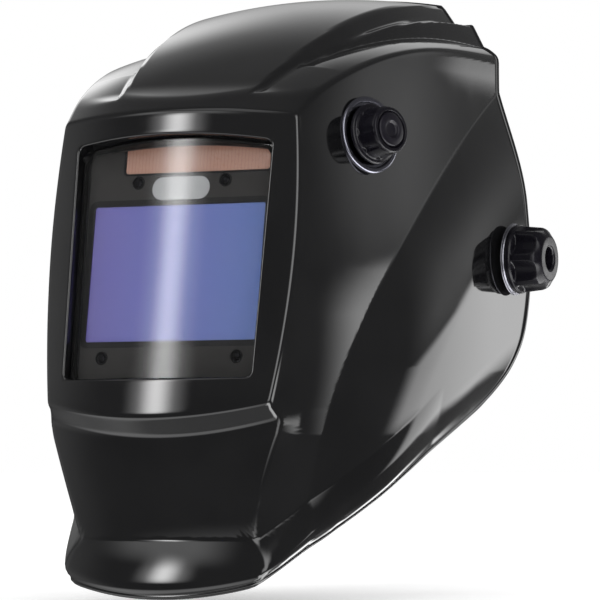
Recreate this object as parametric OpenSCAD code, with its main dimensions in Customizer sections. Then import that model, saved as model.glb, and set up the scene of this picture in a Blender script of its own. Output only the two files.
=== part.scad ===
// Auto-darkening welding helmet: glossy shell, filter cartridge, pivots and headgear.
// Millimetres. The origin is the middle of the tilt axis, about the centre of the wearer's head.
// The wearer looks along -Y, +Z is up and +X is the wearer's left.

/* [Shell] */
// thickness of the moulded shell wall
wall_t = 2.8; // [2:0.1:4]
// furthest back the shell reaches behind the tilt axis
rear_y = 28; // [10:1:40]
// middle of the window frame's front face, at the height of the tilt axis
face_y = -204.6; // [-230:0.1:-180]
// radius of the cylinder that the window frame's face is part of
face_r = 195; // [150:1:300]
// how far the face leans back, as rise over run
face_lean = 0.172; // [0:0.001:0.4]
// half width of the window frame where it is widest
frame_half = 70.4; // [60:0.1:80]
// top of the window frame at its corners
frame_top = 67; // [55:0.1:80]
// bottom of the window frame at its corners
frame_bottom = -78; // [-95:0.1:-65]
// height of the crown plateau's edge above the tilt axis, at the rear
crown_top = 141.5; // [130:0.1:155]

/* [Window] */
// top of the window opening at its corners, along the face
open_top = 55.1; // [45:0.1:62]
// bottom of the window opening, along the face
open_bottom = -66; // [-72:0.1:-55]
// half width of the window opening at mid height
open_half = 54.3; // [45:0.1:60]
// depth of the flange the filter cartridge rests against, behind the middle of the face
flange_depth = 16.2; // [12:0.1:22]

/* [Filter cartridge] */
// width of the cartridge
case_w = 114; // [105:1:120]
// height of the cartridge
case_h = 136; // [120:1:140]
// thickness of the front half of the case
case_front_t = 5; // [3:0.5:8]
// thickness of the rear half of the case
case_rear_t = 7; // [4:0.5:10]
// viewing area: width
view_w = 97; // [80:1:100]
// viewing area: height
view_h = 70; // [50:1:80]

/* [Pivot] */
// radius of the pivot bolts
bolt_r = 4; // [3:0.5:5]
// radial clearance of a running fit
run_gap = 0.06; // [0.02:0.01:0.1]
// outside face of the boss that the pivot goes through
boss_x = 106.8; // [100:0.1:110]
// inside face of that boss
boss_in_x = 100.6; // [95:0.1:100]
// radius of the big outer washer
washer_r = 19.5; // [15:0.5:24]

/* [Shade knob] */
// centre of the knob's seat on the wearer's left flank
knob_at = [81.5, -131, 59]; // [-200:0.5:200]
// direction of the knob's axis, degrees from straight ahead
knob_yaw = 70; // [50:1:90]
// upward tilt of the knob's axis
knob_tilt = 7; // [0:0.5:15]

/* [Headgear] */
// half width of the headband
band_rx = 80; // [70:1:88]
// half length of the headband, front to back
band_ry = 101; // [90:1:110]
// thickness of the headband
band_t = 2; // [1.5:0.1:3]
// height of the headband
band_h = 24; // [18:1:32]
// backward fall of the headband, degrees
band_fall = 16.7; // [0:0.1:25]
// height of the headband's centre plane over the tilt axis
band_z = 28; // [20:1:40]

/* [Hidden] */
lean_deg = atan(face_lean);
case_mid = -1;              // middle of the cartridge, along the face
view_mid = -8.3;            // middle of the viewing area, along the face
plate_y = flange_depth + 2.2;   // front of the cartridge
ring_n = 96;                // columns around the shell
outer_n = 24;               // rows from the window edge to the rim, outside
inner_n = 12;               // the same, inside
hub = [0, -60, 50];         // every point of the shell can be seen from here
shell_black = [0.02, 0.02, 0.022];
soft_black = [0.05, 0.05, 0.055];
case_grey = [0.16, 0.16, 0.17];

// ---------- small helpers ----------

function clamp(t) = min(1, max(0, t));
function ramp(v, a, b) = clamp((v - a) / (b - a));
function ease(t) = let (c = clamp(t)) c * c * (3 - 2 * c);
function mix(a, b, t) = a + (b - a) * t;
function swell(t) = sin(90 * clamp(t));
// larger of two values with a rounded corner of size r between them
function soft_max(a, b, r) = let (h = max(r - abs(a - b), 0) / r) max(a, b) + h * h * r / 4;
function soft_min(a, b, r) = -soft_max(-a, -b, r);

// ---------- the shell's outer surface ----------
// skin() is negative inside the helmet, zero on its outer surface and grows
// outwards by about one unit per millimetre.

function face_at(x, z) = face_y + x * x / (2 * face_r) + face_lean * z;

// half width of the front where the side wall starts: window frame, then throat
function front_half(y, z) =
    let (
        low = 63.1 - 0.235 * max(-z - 80, 0) - 0.11 * max(-z - 94, 0),
        jog = 1.9 * ease(ramp(z, -80, -88)) * (1 - ramp(z, -88, -130)) * (1 - ramp(y, -200, -185))
    )
    (z > -80 ? frame_half - 0.00095 * pow(z - 8, 2) : low) + jog;

// how far a point is behind the soft valley that sweeps up the cheek to the rear edge
function past_valley(y, z) =
    let (u = max(z + 112, 0))
    (y + 169 - 0.0047 * u * u) / sqrt(1 + pow(0.0094 * u, 2));

// height of the shell's lower edge, and of the crease above its rolled lip
function low_edge(y) = -69 + 0.478 * (y - 4) + 5 * max(0, 1 - pow((y + 70) / 85, 2));
function lip_crease(y) = -146 + 0.67 * (y + 197);
// how far the cut edge dips at the middle of the front, and the lip rolls under above it
function low_dip(x, y) = (1 + 4.2 * clamp(1 - pow(x / 58, 2))) * ramp(y, -165, -200);
function roll_under(x, y, z) = 0.045 * pow(max(low_edge(y) - low_dip(x, y) + 9 - z, 0), 2);

// half width of the shell: swept flank, cheek bulge, tuck-in at the rear, lip at the front
function side_half(y, z) =
    let (
        start = front_half(y, z),
        back = clamp((y + 191.5 - face_lean * z) / (219.5 - face_lean * z) / 0.8),
        rear = 86.5 + 7 * ease(ramp(z, 100, -10)) - 0.0012 * pow(max(-z - 30, 0), 2),
        bulge = 11.5 * swell(past_valley(y, z) / 60) * (1 - 0.5 * ramp(z, -60, -150)),
        tuck = 4 * pow(clamp(1 - (z - low_edge(y)) / 26), 2) * ramp(y, -120, -40),
        flare = 8 * ramp(y, -80, -190) + 5 * ramp(y, -150, -200),
        lip = flare * swell((lip_crease(y) - z) / 15),
        roll = roll_under(70, y, z) * ramp(y, -40, -120)
    )
    start + (rear - start) * (1 - pow(1 - back, 2.6)) + bulge - tuck + lip - roll;

// height of the crown: domed plateau, two ledges that open towards the rear, shoulder
function crown_at(x, y) =
    let (
        v = max((34 - y) / 212, 0),
        g = clamp((y + 178) / 206),
        late = clamp((y + 140) / 168),
        x1 = 54 - 16.8 * pow(clamp(v), 2.8),
        x2 = x1 + 8 * pow(g, 0.6),
        x3 = x2 + 10 * late + 0.01,
        x4 = x3 + 6.5 * pow(late, 0.7) + 0.01,
        x5 = 67.5 + 19 * (1 - pow(1 - clamp((y + 182) / 210), 3)),
        z1 = crown_top - 63.5 * pow(v, 2.24) + 6 * ease(ramp(y, -165, -200)),
        z2 = z1 - 11.5 * sqrt(g),
        z4 = z2 - 12.5 * pow(late, 0.8),
        z5 = 112 - 43.2 * pow(max(-y, 0) / 184, 2.56),
        across = clamp((x - x4) / max(x5 - x4, 1))
    )
    x < x1 ? z1 + 5 * clamp((y + 200) / 150) * (1 - pow(x / x1, 2))
    : x < x2 ? mix(z1, z2, (x - x1) / max(x2 - x1, 0.01))
    : x < x3 ? z2
    : x < x4 ? mix(z2, z4, (x - x3) / (x4 - x3))
    : x < x5 ? mix(z4, z5, across) + 3 * across * (1 - across)
    : z5 - 1.2 * (x - x5);

function skin(p) =
    let (
        x = abs(p[0]), y = p[1], z = p[2],
        ahead = face_at(x, z),
        roof = (z - crown_at(x, y)) * 0.8,
        top = frame_top + 4.2 * (1 - pow(x / 67, 2)),
        brow = (z - top - 0.95 * (y - ahead)) * 0.72,
        side = (x - side_half(y, z)) * 0.97,
        window = (ahead - y) * 0.985,
        foot = frame_bottom - 7 * (1 - pow(x / 62, 2)),
        bevel = (foot - z - (y - ahead)) * 0.7,
        fall_back = 0.0026 * pow(51 * clamp((-z - 95) / 51), 2) + 0.2 * max(-z - 146, 0),
        roll = 13.4 * swell((-146 - z) / 37.6),
        throat = -211.3 + x * x / 380 + fall_back - roll + roll_under(x, y, z),
        front = soft_min(soft_max(window, bevel, 1.5), soft_max(throat - y, z + 80, 2), 1.5)
    )
    soft_max(soft_max(soft_max(roof, brow, 1), side, 2), front, 1.6);

// rim() is negative in front of the shell's cut edge: straight down the back, then along below
function rim(p) =
    let (below = low_edge(p[1]) - low_dip(p[0], p[1]) - p[2])
    soft_max(p[1] - rear_y, 0.9 * below, 60) - 1;

// distance from the hub to the skin along a direction, by halving an interval n times
function span(d, level, lo = 55, hi = 330, n = 16) =
    n == 0 ? (lo + hi) / 2
    : let (m = (lo + hi) / 2)
      skin(hub + d * m) < level ? span(d, level, m, hi, n - 1) : span(d, level, lo, m, n - 1);
function hit(d, level) = hub + d * span(d, level);

// directions fan out around an axis that points forwards and up, square to the cut edge
fan_axis = [0, -0.784, 0.62];
fan_over = [0, 0.62, 0.784];
function fan(a, b) = fan_axis * cos(b) + ([sin(a), 0, 0] + fan_over * cos(a)) * sin(b);
function rim_angle(a, level, lo = 60, hi = 165, n = 13) =
    n == 0 ? (lo + hi) / 2
    : let (m = (lo + hi) / 2)
      rim(hit(fan(a, m), level)) < 0 ? rim_angle(a, level, m, hi, n - 1)
      : rim_angle(a, level, lo, m, n - 1);

// ---------- the window opening ----------

// outline of the opening in the plane of the face: negative inside
function window_edge(x, w) =
    let (over = w - open_top - 4.5 * (1 - pow(x / 55, 2)), under = open_bottom - w)
    soft_max(abs(x) - open_half - 0.0185 * w, max(over, under), 4);
// point of that outline, grown outwards, in direction a measured from straight up
function window_point(a, grow = 0, lo = 20, hi = 110, n = 14) =
    n == 0 ? [sin(a) * lo, cos(a) * lo - 5]
    : let (m = (lo + hi) / 2)
      window_edge(sin(a) * m, cos(a) * m - 5) < grow ? window_point(a, grow, m, hi, n - 1)
      : window_point(a, grow, lo, m, n - 1);
// a point of the leaning face, d behind its curved surface or behind its flat middle
function on_curve(q, d) = on_flat(q, d) + [0, q[0] * q[0] / (2 * face_r), 0];
function on_flat(q, d) =
    [q[0], face_y + q[1] * sin(lean_deg) + d * cos(lean_deg), q[1] * cos(lean_deg) - d * sin(lean_deg)];

// the leaning frame of the face: x across, y inwards, z up along the face
module in_face() {
    translate([0, face_y, 0]) rotate([-lean_deg, 0, 0]) children();
}

// a flat piece with the outline of the opening, from depth y0 to y1
module window_slab(grow, y0, y1) {
    translate([0, y1, 0]) rotate([90, 0, 0]) linear_extrude(y1 - y0)
        polygon([for (i = [0:71]) window_point(i * 5, grow)]);
}

// a box with rounded vertical edges seen from the front, from depth y0 to y1
module plate(w, h, r, y0, y1, mid = 0) {
    translate([0, y1, mid]) rotate([90, 0, 0]) linear_extrude(y1 - y0)
        polygon([for (q = [[1, 1, 0], [-1, 1, 90], [-1, -1, 180], [1, -1, 270]])
            for (k = [0:3])
                [q[0] * (w / 2 - r) + r * cos(q[2] + k * 30), q[1] * (h / 2 - r) + r * sin(q[2] + k * 30)]]);
}

// ---------- shell ----------

// one section of the shell at the angle a: down the window well, over the outside, back inside
function section(a) =
    let (
        turn = a + 14 * sin(a),
        edge = on_curve(window_point(a), 0),
        inner_edge = on_curve(window_point(a, 2.5), wall_t),
        rim_out = fan(turn, rim_angle(turn, 0)),
        rim_in = fan(turn, rim_angle(turn, -wall_t)),
        from_out = edge - hub,
        from_in = inner_edge - hub
    )
    concat(
        [on_flat(window_point(a, -2), flange_depth), on_flat(window_point(a), flange_depth), edge],
        [for (i = [1:outer_n]) hit(toward(from_out, rim_out, i / outer_n), 0)],
        [for (i = [inner_n:-1:1]) hit(toward(from_in, rim_in, i / inner_n), -wall_t)],
        [inner_edge, on_flat(window_point(a, 2.5), flange_depth + 2),
         on_flat(window_point(a, -2), flange_depth + 2)]
    );
function unit(v) = v / norm(v);
function toward(a, b, t) = unit(unit(a) * (1 - t) + unit(b) * t);
function mirror_x(list) = [for (p = list) [-p[0], p[1], p[2]]];

module shell_skin() {
    half = [for (i = [0:ring_n / 2]) section(i * 360 / ring_n)];
    ring = concat(half, [for (i = [ring_n / 2 - 1:-1:1]) mirror_x(half[i])]);
    m = len(half[0]);
    polyhedron(
        points = [for (c = ring) for (p = c) p],
        faces = [for (i = [0:ring_n - 1]) for (j = [0:m - 1]) for (t = [0, 1])
            let (a = i * m, b = ((i + 1) % ring_n) * m, k = (j + 1) % m)
            t == 0 ? [a + j, b + k, b + j] : [a + j, a + k, b + k]],
        convexity = 6);
}

module both_sides() {
    children();
    mirror([1, 0, 0]) children();
}

// a disc or tube along +X from x0 to x1
module disc_x(x0, x1, r, fn = 48) {
    translate([x0, 0, 0]) rotate([0, 90, 0]) cylinder(h = x1 - x0, r = r, $fn = fn);
}

// the frame of the shade knob: its z axis is the knob's axis, pointing outwards
module at_knob() {
    translate(knob_at) rotate([0, 0, knob_yaw - 90]) rotate([0, 90 - knob_tilt, 0]) children();
}

module shell() {
    color(shell_black) difference() {
        union() {
            shell_skin();
            both_sides() {
                disc_x(103, boss_x, 21);
                disc_x(boss_in_x, 104, 17);
            }
            at_knob() translate([0, 0, -5]) cylinder(h = 5.5, r = 19.5, $fn = 48);
            in_face() for (x = [-61.5, 61.5]) for (z = [-52, 46])
                translate([x, 10, z]) rotate([-90, 0, 0]) cylinder(h = 8.2, r = 3, $fn = 20);
        }
        both_sides() disc_x(90, 110, 6.5);
        at_knob() translate([0, 0, -12]) cylinder(h = 20, r = 4.6, $fn = 32);
        at_knob() translate([0, 0, 0.5]) cylinder(h = 8, r = 20.4, $fn = 64);
        in_face() for (x = [-61.5, 61.5]) for (z = [-52, 46])
            translate([x, 13, z]) rotate([-90, 0, 0]) cylinder(h = 8, r = 1.2, $fn = 16);
    }
}

// ---------- window and filter cartridge ----------

// the space behind a cylinder surface that runs parallel to the window frame's face
module behind_curve(depth) {
    translate([0, face_r, -75]) cylinder(h = 150, r = face_r - depth, $fn = 180);
}

module cover_lens() {
    color([0.85, 0.9, 0.95, 0.2]) in_face() difference() {
        intersection() {
            window_slab(-0.5, 2, 17);
            behind_curve(6);
        }
        behind_curve(7.5);
    }
}

module lens_seal() {
    color(soft_black) in_face() intersection() {
        difference() {
            window_slab(-0.6, 5, flange_depth - 0.1);
            window_slab(-1.9, 4, flange_depth + 1);
        }
        behind_curve(7.6);
    }
}

// openings in the front of the cartridge
solar_x = 8.5;
solar_mid = 52;
sensors = [[-25, 39.2], [25, 39.2], [-38.6, -52], [38.6, -52]];
case_join = plate_y + case_front_t;
case_back = case_join + case_rear_t;

module at_sensors(y) {
    for (q = sensors) translate([q[0], y, q[1]]) rotate([-90, 0, 0]) children();
}

module filter_case() {
    color(case_grey) in_face() difference() {
        plate(case_w, case_h, 6, plate_y, case_join, case_mid);
        plate(case_w - 4, case_h - 4, 4, plate_y + 2.2, case_join + 1, case_mid);
        plate(view_w + 1, view_h + 1, 1.5, plate_y - 1, case_join, view_mid);
        translate([solar_x, 0, 0]) plate(83, 16.4, 1.2, plate_y - 1, case_join, solar_mid);
        at_sensors(plate_y - 1) cylinder(h = 6, r = 3.6, $fn = 24);
    }
}

// things on the back of the cartridge: adjusting knobs, test button and battery caps
adjust_at = [31, 47];
cell_at = [40, -56.4];
module filter_back() {
    color(case_grey) in_face() difference() {
        plate(case_w, case_h, 6, case_join, case_back, case_mid);
        plate(case_w - 4, case_h - 4, 4, case_join - 1, case_back - 2, case_mid);
        plate(view_w + 1, view_h + 1, 1.5, case_join, case_back + 1, view_mid);
        for (s = [-1, 1]) {
            translate([s * adjust_at[0], case_join, adjust_at[1]]) rotate([-90, 0, 0])
                cylinder(h = 12, r = 3 + run_gap, $fn = 32);
            translate([s * cell_at[0], case_join, cell_at[1]]) rotate([-90, 0, 0])
                cylinder(h = 12, r = 10.6, $fn = 48);
        }
        translate([0, case_join, adjust_at[1]]) rotate([-90, 0, 0])
            cylinder(h = 12, r = 3 + run_gap, $fn = 32);
    }
}

module solar_cell() {
    color([0.69, 0.49, 0.43]) in_face() translate([solar_x, 0, 0])
        plate(82.6, 16, 1, plate_y + 0.4, plate_y + 1.6, solar_mid);
}

module filter_glass() {
    color([0.42, 0.44, 0.72]) in_face()
        plate(view_w + 0.6, view_h + 0.6, 1.3, plate_y + 0.4, plate_y + 2.2, view_mid);
}

module lcd_stack() {
    color([0.18, 0.24, 0.2]) in_face()
        plate(view_w + 4, view_h + 4, 1, plate_y + 2.3, case_back - 2.2, view_mid);
}

module sensor_lenses() {
    color([0.02, 0.02, 0.03]) in_face() at_sensors(plate_y + 0.8) cylinder(h = 2.2, r = 3.4, $fn = 24);
}

module rating_label() {
    color([0.72, 0.74, 0.76]) in_face() plate(33, 12, 5.9, plate_y - 0.2, plate_y, 35.7);
}

module circuit_board() {
    color([0.05, 0.25, 0.12]) in_face() difference() {
        plate(case_w - 5, case_h - 5, 3, plate_y + 3.2, plate_y + 4.8, case_mid);
        plate(view_w + 6, view_h + 6, 1, plate_y + 3, plate_y + 5, view_mid);
    }
}

module coin_cells() {
    color([0.75, 0.75, 0.75]) in_face() for (s = [-1, 1])
        translate([s * cell_at[0], case_join + 1.6, cell_at[1]]) rotate([-90, 0, 0])
            cylinder(h = 3.2, r = 10, $fn = 40);
}

module battery_cap(s) {
    color(soft_black) in_face() translate([s * cell_at[0], 0, cell_at[1]]) difference() {
        translate([0, case_back - 1.8, 0]) rotate([-90, 0, 0]) cylinder(h = 2.6, r = 10.2, $fn = 48);
        translate([-6, case_back + 0.1, -0.8]) cube([12, 2, 1.6]);
    }
}
module battery_cap_left() battery_cap(1);
module battery_cap_right() battery_cap(-1);

module adjust_knob(s) {
    color(soft_black) in_face() translate([s * adjust_at[0], 0, adjust_at[1]]) rotate([-90, 0, 0])
        difference() {
            union() {
                translate([0, 0, case_back + 0.4]) cylinder(h = 6.6, r = 8, $fn = 40);
                translate([0, 0, case_join + 1.2]) cylinder(h = 6.4, r = 3, $fn = 24);
            }
            for (a = [0:30:330]) rotate(a) translate([8.5, 0, case_back + 1.6])
                cylinder(h = 8, r = 1.1, $fn = 12);
            translate([-0.6, 0, case_back + 6.2]) cube([1.2, 7, 2]);
        }
}
module sensitivity_knob() adjust_knob(1);
module delay_knob() adjust_knob(-1);

module test_button() {
    color([0.6, 0.08, 0.06]) in_face() translate([0, 0, adjust_at[1]]) rotate([-90, 0, 0]) {
        translate([0, 0, case_join + 2.2]) cylinder(h = 8.3, r = 3, $fn = 32);
        translate([0, 0, case_join + 3]) cylinder(h = 1.2, r = 4.4, $fn = 32);
    }
}

module inner_cover_lens() {
    color([0.85, 0.9, 0.95, 0.2]) in_face()
        plate(view_w + 7, 74.4, 2, case_back + 0.05, case_back + 1.05, view_mid);
}

posts = [for (x = [-61.5, 61.5]) for (z = [-52, 46]) [x, z]];
bail_y = case_back + 2.8;
bail_top = 58;
module filter_holder() {
    color(soft_black) in_face() difference() {
        union() {
            plate(case_w + 9, case_h + 7, 7, flange_depth + 2.1, flange_depth + 9, case_mid);
            for (q = posts) translate([q[0], flange_depth + 2.1, q[1]]) rotate([-90, 0, 0])
                cylinder(h = 3.6, r = 4.2, $fn = 24);
            for (s = [-1, 1]) translate([s * 62.4 - 1.6, flange_depth + 6, bail_top - 4])
                cube([3.2, 14, 8]);
        }
        plate(case_w + 0.6, case_h + 0.6, 6, flange_depth, flange_depth + 12, case_mid);
        for (q = posts) translate([q[0], flange_depth + 1, q[1]]) rotate([-90, 0, 0])
            cylinder(h = 12, r = 1.5, $fn = 16);
        for (q = posts) translate([q[0], flange_depth + 5.7, q[1]]) rotate([-90, 0, 0])
            cylinder(h = 12, r = 3.2, $fn = 24);
        translate([-70, bail_y, bail_top]) rotate([0, 90, 0]) cylinder(h = 140, r = 1.5 + run_gap, $fn = 24);
    }
}

module holder_screws() {
    color([0.7, 0.7, 0.72]) in_face() for (q = posts)
        translate([q[0], 0, q[1]]) rotate([-90, 0, 0]) {
            translate([0, 0, 14]) cylinder(h = 8.5, r = 1.2, $fn = 16);
            translate([0, 0, flange_depth + 5.75]) cylinder(h = 1.8, r = 2.7, $fn = 20);
        }
}

module retainer_bail() {
    foot = -63;
    color([0.7, 0.7, 0.72]) in_face() translate([0, bail_y, 0]) {
        for (s = [-1, 1]) {
            translate([s * 58.9, 0, foot]) cylinder(h = bail_top - foot, r = 1.5, $fn = 20);
            translate([s * 58.9, 0, bail_top]) rotate([0, s * 90, 0]) cylinder(h = 5, r = 1.5, $fn = 20);
            translate([s * 58.9, 0, bail_top]) sphere(r = 1.5, $fn = 20);
            translate([s * 58.9, 0, foot]) sphere(r = 1.5, $fn = 20);
        }
        translate([-58.9, 0, foot]) rotate([0, 90, 0]) cylinder(h = 117.8, r = 1.5, $fn = 20);
    }
}

// ---------- shade control on the left flank ----------

module shade_ring() {
    color([0.2, 0.2, 0.23]) at_knob() difference() {
        translate([0, 0, 0.6]) cylinder(h = 2.6, r = 20, $fn = 64);
        translate([0, 0, 0]) cylinder(h = 5, r = 5, $fn = 32);
        translate([0, 0, 2.2]) cylinder(h = 2, r = 17.2, $fn = 64);
    }
}

module shade_pot() {
    color([0.3, 0.32, 0.34]) at_knob() difference() {
        union() {
            translate([0, 0, -17]) cylinder(h = 10.5, r = 8.5, $fn = 40);
            translate([0, 0, -7]) cylinder(h = 12.4, r = 4.5, $fn = 32);
        }
        translate([0, 0, -15]) cylinder(h = 30, r = 3 + run_gap, $fn = 32);
    }
}

module shade_nut() {
    color([0.7, 0.7, 0.72]) at_knob() difference() {
        translate([0, 0, 2.3]) cylinder(h = 2, r = 6.6, $fn = 6);
        cylinder(h = 8, r = 4.55, $fn = 32);
    }
}

module shade_knob() {
    color(soft_black) at_knob() difference() {
        union() {
            translate([0, 0, 3.6]) cylinder(h = 2.2, r = 15.6, $fn = 48);
            translate([0, 0, 5]) cylinder(h = 11.5, r1 = 13.2, r2 = 12.2, $fn = 48);
            translate([0, 0, 16.5]) cylinder(h = 1.6, r1 = 12.2, r2 = 10.4, $fn = 48);
        }
        translate([0, 0, 3]) cylinder(h = 3.2, r = 8, $fn = 40);
        translate([0, 0, 16.9]) cylinder(h = 2, r = 7.2, $fn = 40);
        for (a = [0:45:315]) rotate(a) translate([14.3, 0, 6]) cylinder(h = 13, r = 2.2, $fn = 16);
    }
}

module shade_knob_cap() {
    color([0.12, 0.12, 0.14]) at_knob() difference() {
        translate([0, 0, 16.9]) cylinder(h = 1.4, r = 7.2, $fn = 40);
        translate([0, 0, 17.7]) cylinder(h = 2, r = 3.4, $fn = 32);
    }
}

module shade_shaft() {
    color([0.7, 0.7, 0.72]) at_knob() translate([0, 0, -12]) cylinder(h = 26, r = 3, $fn = 32);
}

// the lead from the shade control to the cartridge, a round cable through these points
lead_r = 1.6;
lead_path = [[66, -127, 53], [66, -133, 54], [66.5, -139, 55], [66, -145, 56], [64.5, -150, 57],
             [62, -154, 58], [58.5, -157, 59], [54.5, -159, 59], [51, -160.5, 58]];
lead_sides = 8;
function heading(i) = unit(lead_path[min(i + 1, len(lead_path) - 1)] - lead_path[max(i - 1, 0)]);
function lead_ring(i) =
    let (u = unit(cross(heading(i), [0, 0, 1])), v = cross(heading(i), u))
    [for (k = [0:lead_sides - 1])
        let (a = k * 360 / lead_sides) lead_path[i] + lead_r * (u * cos(a) + v * sin(a))];
module shade_lead() {
    n = len(lead_path);
    m = lead_sides;
    color(soft_black) polyhedron(
        points = [for (i = [0:n - 1]) each lead_ring(i)],
        faces = concat(
            [[for (k = [0:m - 1]) k]],
            [[for (k = [m - 1:-1:0]) (n - 1) * m + k]],
            [for (i = [0:n - 2]) for (k = [0:m - 1]) for (t = [0, 1])
                let (a = i * m + k, b = i * m + (k + 1) % m)
                t == 0 ? [a, a + m, b] : [b, a + m, b + m]]));
}
// a bar of radius r from a to b
module rod(a, b, r) {
    d = b - a;
    translate(a) rotate([0, acos(d[2] / norm(d)), atan2(d[1], d[0])])
        cylinder(h = norm(d), r = r, $fn = 16);
}
// clips that stand on the shell's inner wall and hold the lead
module lead_clips() {
    color([0.7, 0.7, 0.68]) for (i = [2, 5])
        rod(lead_path[i] - [2.6, 0, 0], lead_path[i] + [11, -2, 0], 2.6);
}
module lead_plug() {
    color(soft_black) in_face() translate([44, case_back + 0.1, 59]) cube([9, 6, 8]);
}

// ---------- pivots ----------

module ring_x(x0, x1, r, hole) {
    difference() {
        disc_x(x0, x1, r);
        disc_x(x0 - 1, x1 + 1, hole, 32);
    }
}

stop_r = 14;             // distance of the stop peg from the tilt axis
tilt_open = 62;          // how far the shell tilts up, degrees
module pivot_bushings() {
    color([0.8, 0.8, 0.76]) both_sides() ring_x(boss_in_x, boss_x, 6.5, bolt_r + run_gap);
}
module stop_pegs() {
    color([0.7, 0.7, 0.72]) both_sides() translate([0, 0, stop_r]) disc_x(92.4, 103, 2, 20);
}
module pivot_bolts() {
    color([0.7, 0.7, 0.72]) both_sides() {
        disc_x(78.8, 81.8, 9);
        disc_x(81.5, 122, bolt_r, 32);
    }
}
module slider_blocks() {
    color(soft_black) both_sides() difference() {
        rotate([0, 0, -90]) plate(40, 24, 4, 86.6, 92, 0);
        disc_x(80, 100, bolt_r, 32);
    }
}
module limit_plates() {
    slot_r = 2.6;
    color([0.2, 0.2, 0.22]) both_sides() difference() {
        disc_x(92, 93.8, 19);
        disc_x(90, 96, bolt_r, 32);
        // the arc that the stop peg runs in, from straight up towards the rear
        rotate([0, 90, 0]) translate([0, 0, 90]) rotate([0, 0, 180 - tilt_open])
            rotate_extrude(angle = tilt_open, $fn = 72)
                translate([stop_r - slot_r, 0]) square([2 * slot_r, 8]);
        for (a = [0, tilt_open]) rotate([-a, 0, 0]) translate([0, 0, stop_r]) disc_x(90, 98, slot_r, 24);
    }
}
module inner_washers() {
    color([0.8, 0.8, 0.76]) both_sides() ring_x(93.85, 100.1, 10.5, bolt_r);
}
module outer_washers() {
    color([0.6, 0.6, 0.63]) both_sides() ring_x(107.2, 109, washer_r, bolt_r);
}

// seven-lobed hand knob threaded on a pivot bolt
module pivot_knob_left() {
    color(soft_black) difference() {
        union() {
            disc_x(109.4, 112, 18.6);
            translate([111, 0, 0]) rotate([0, 90, 0]) cylinder(h = 14, r1 = 18, r2 = 16.4, $fn = 56);
            translate([125, 0, 0]) rotate([0, 90, 0]) cylinder(h = 3.6, r1 = 16.4, r2 = 11.5, $fn = 56);
        }
        disc_x(100, 140, bolt_r + run_gap, 32);
        for (a = [0:360 / 7:359]) rotate([a, 0, 0]) translate([112.6, 0, 24.2]) rotate([0, 90, 0])
            cylinder(h = 20, r = 9.4, $fn = 32);
    }
}
module pivot_knob_right() mirror([1, 0, 0]) pivot_knob_left();

// ---------- headgear ----------

// the headband's frame: tilted down towards the nape
module in_band() {
    translate([0, 0, band_z]) rotate([-band_fall, 0, 0]) children();
}
function band_point(a, out) = [(band_rx + out) * sin(a), -(band_ry + out) * cos(a)];
// a curved strip that follows the band from angle a0 to a1, zero at the brow
module band_strip(a0, a1, out0, out1, z0, z1, n = 48) {
    translate([0, 0, z0]) linear_extrude(z1 - z0) polygon(concat(
        [for (i = [0:n]) band_point(mix(a0, a1, i / n), out0)],
        [for (i = [n:-1:0]) band_point(mix(a0, a1, i / n), out1)]));
}

module headband() {
    color(soft_black) in_band() difference() {
        band_strip(-168, 168, 0, band_t, -band_h / 2, band_h / 2, 96);
        // adjusting slots in both tails
        for (s = [-1, 1]) for (k = [0:6])
            rotate([0, 0, 0]) translate(concat(band_point(s * (136 + k * 3.4), -3), [0]))
                rotate([0, 0, s * (136 + k * 3.4) - 90]) translate([0, -1.1, -4]) cube([8, 2.2, 8]);
    }
}

module side_plates() {
    color(soft_black) both_sides() difference() {
        union() {
            rotate([0, 0, -90]) plate(64, 54, 8, 82.2, 86.2, 7);
            for (z = [-15, 12.5]) translate([86, -26, z]) cube([2.4, 52, 2.5]);
        }
        translate([80, -10, 0]) hull_slot();
    }
}
// the slot that lets a pivot bolt move fore and aft
module hull_slot() {
    translate([0, 0, -4.4]) cube([12, 20, 8.8]);
    for (y = [0, 20]) translate([0, y, 0]) rotate([0, 90, 0]) cylinder(h = 12, r = 4.4, $fn = 32);
}

module band_rivets() {
    color([0.7, 0.7, 0.72]) both_sides() {
        for (y = [-13, 13]) translate([0, y, 26]) {
            disc_x(79.6, 87.4, 2.2, 20);
            disc_x(86.2, 87.6, 4, 24);
        }
        translate([0, 4, 37.6]) disc_x(79.6, 86.4, 2.2, 20);
    }
}

// straps over the head: half ellipses, the left one lying on top of the right one
strap_y = 4;
strap_w = 20;
function strap_point(t, r, top) = [r * cos(t), band_z + 2 + top * sin(t)];
module strap(t1, in_top) {
    translate([0, strap_y + strap_w / 2, 0]) rotate([90, 0, 0]) linear_extrude(strap_w)
        polygon(concat(
            [for (i = [0:36]) strap_point(mix(3, t1, i / 36), 82.3, in_top)],
            [for (i = [36:-1:0]) strap_point(mix(3, t1, i / 36), 84.3, in_top + 2)]));
}
module crown_strap_left() {
    color(soft_black) strap(108, 88.2);
}
module crown_strap_right() {
    color(soft_black) mirror([1, 0, 0]) strap(108, 86);
}
module strap_studs() {
    color([0.7, 0.7, 0.72]) for (x = [-11, 0, 11])
        translate([x, strap_y, band_z + 87]) cylinder(h = 7.2, r = 2.4, $fn = 20);
}

module sweatband() {
    color([0.12, 0.12, 0.13]) in_band() band_strip(-74, 74, -7, -0.1, -17, 17);
}
module rear_cradle() {
    color(soft_black) in_band() band_strip(148, 212, -2.6, -0.1, -25, 17, 32);
}
module rear_pad() {
    color([0.12, 0.12, 0.13]) in_band() band_strip(151, 209, -8.5, -2.7, -23, 15, 32);
}

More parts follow.
